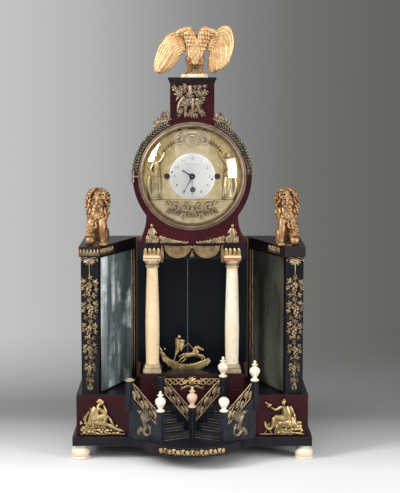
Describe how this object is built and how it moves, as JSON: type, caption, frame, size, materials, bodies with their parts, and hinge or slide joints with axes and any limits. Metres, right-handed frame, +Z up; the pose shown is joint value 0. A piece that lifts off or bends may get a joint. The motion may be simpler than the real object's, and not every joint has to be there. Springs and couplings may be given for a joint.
{
  "type": "portico mantel clock",
  "caption": "Portico mantel clock: round dial on a keyhole drum over columns, slanted mirror wings with lions, a double staircase in front and a swinging pendulum.",
  "frame": {"origin": "on the surface that the clock stands on, under the middle of its case", "axes": "+Z up, the dial faces -Y, +X to the right of someone who looks at the dial"},
  "size_m": [0.391, 0.2081, 0.6946],
  "materials": {
    "alabaster": "polished, veined",
    "ebonised_wood": "worn black polish",
    "red_wood": "dark red stain, polished, worn",
    "slate_wood": "slate-black paint, worn",
    "back_wood": "plain softwood, aged",
    "gilt_brass": "pressed and gilt, worn",
    "gilt_wood": "gilt over dark ground",
    "bright_gilt_wood": "bright water gilding",
    "red_gilt_wood": "gilding worn to the red ground",
    "old_mirror": "aged silvering, spotted",
    "white_enamel": "gloss",
    "dial_glass": "clear, domed",
    "plain_brass": "brushed",
    "blued_steel": "blued",
    "steel": "polished"
  },
  "bodies": {
    "case": {"bun_feet": "alabaster", "base_slab": "ebonised_wood", "lower_tier": "red_wood", "plinth_blocks": "red_wood", "stair_posts": "slate_wood", "stair_flights": "slate_wood", "inner_railings": "gilt_brass", "outer_railings": "gilt_brass", "urn_finials": "alabaster", "podium": "red_wood", "column_shafts": "alabaster", "column_bases": "gilt_wood", "column_capitals": "gilt_brass", "architrave": "ebonised_wood", "right_wing_case": "ebonised_wood", "left_wing_case": "ebonised_wood", "right_wing_top": "ebonised_wood", "left_wing_top": "ebonised_wood", "wing_mirrors": "old_mirror", "centre_mirror": "old_mirror", "back_board": "back_wood", "drum_block": "red_wood", "neck_block": "red_wood", "neck_cornice": "ebonised_wood", "eagle": "bright_gilt_wood", "right_lion": "red_gilt_wood", "left_lion": "red_gilt_wood", "dial_mask": "gilt_brass", "enamel_dial": "white_enamel", "hinge_pins": "gilt_brass", "front_plate": "plain_brass", "back_plate": "plain_brass", "suspension_cock": "plain_brass", "spring_barrels": "plain_brass", "gong": "steel", "vine_mounts": "gilt_brass", "plinth_figures": "gilt_brass", "spandrel_mounts": "gilt_brass", "drapery_mount": "gilt_brass", "frieze_mount": "gilt_brass", "bow_mount": "gilt_brass", "stringer_mounts": "gilt_brass", "trophy_mount": "gilt_brass", "rim_band": "gilt_brass", "cornice_mounts": "gilt_brass"},
    "bezel_body": {"bezel": "gilt_brass", "glass_dome": "dial_glass"},
    "rear_door_body": {"rear_door": "back_wood"},
    "minute_body": {"minute_hand": "blued_steel", "centre_wheel": "plain_brass"},
    "hour_body": {"hour_hand": "blued_steel"},
    "third_hand_body": {"third_hand": "blued_steel"},
    "escape_body": {"escape_wheel": "plain_brass"},
    "pallet_body": {"pallet_anchor": "steel"},
    "pendulum_body": {"pendulum_rod": "steel", "pendulum_bob": "gilt_brass"},
    "going_winding_body": {"going_winding_arbor": "steel"},
    "strike_winding_body": {"strike_winding_arbor": "steel"},
    "quarter_winding_body": {"quarter_winding_arbor": "steel"},
    "hammer_body": {"strike_hammer": "steel"}
  },
  "joints": [
    {"name": "bezel_hinge", "type": "hinge", "parent": "case", "child": "bezel_body", "pos_m": [-0.095, 0, 0.4525], "axis": [0, 0, -1], "range_deg": [0, 100]},
    {"name": "rear_door_hinge", "type": "hinge", "parent": "case", "child": "rear_door_body", "pos_m": [0.084, 0.10151, 0.4525], "axis": [0, 0, -1], "range_deg": [0, 110]},
    {"name": "minute_hand_turn", "type": "hinge", "parent": "case", "child": "minute_body", "pos_m": [0, 0, 0.4525], "axis": [0, 1, 0], "continuous": true},
    {"name": "hour_hand_turn", "type": "hinge", "parent": "case", "child": "hour_body", "pos_m": [0, 0, 0.4525], "axis": [0, 1, 0], "continuous": true},
    {"name": "third_hand_turn", "type": "hinge", "parent": "case", "child": "third_hand_body", "pos_m": [0, 0, 0.4525], "axis": [0, 1, 0], "continuous": true},
    {"name": "escape_wheel_turn", "type": "hinge", "parent": "case", "child": "escape_body", "pos_m": [-0.0075, 0.052, 0.47], "axis": [0, 1, 0], "continuous": true},
    {"name": "pendulum_swing", "type": "hinge", "parent": "case", "child": "pendulum_body", "pos_m": [-0.0075, 0.032, 0.49], "axis": [0, 1, 0], "range_deg": [-2, 2]},
    {"name": "pallets_swing", "type": "hinge", "parent": "case", "child": "pallet_body", "pos_m": [-0.0075, 0.052, 0.49], "axis": [0, 1, 0], "range_deg": [-2, 2]},
    {"name": "going_winding", "type": "hinge", "parent": "case", "child": "going_winding_body", "pos_m": [0.001, 0.03, 0.431], "axis": [0, 1, 0], "continuous": true},
    {"name": "strike_winding", "type": "hinge", "parent": "case", "child": "strike_winding_body", "pos_m": [0.0405, 0.03, 0.4525], "axis": [0, 1, 0], "continuous": true},
    {"name": "quarter_winding", "type": "hinge", "parent": "case", "child": "quarter_winding_body", "pos_m": [-0.0405, 0.03, 0.4525], "axis": [0, 1, 0], "continuous": true},
    {"name": "hammer_lift", "type": "hinge", "parent": "case", "child": "hammer_body", "pos_m": [0.038, 0.075, 0.4375], "axis": [0, 1, 0], "range_deg": [-25, 0]}
  ],
  "couplings": [
    {"joint": "hour_hand_turn", "follows": "minute_hand_turn", "ratio": 0.083333},
    {"joint": "pallets_swing", "follows": "pendulum_swing", "ratio": 1}
  ]
}
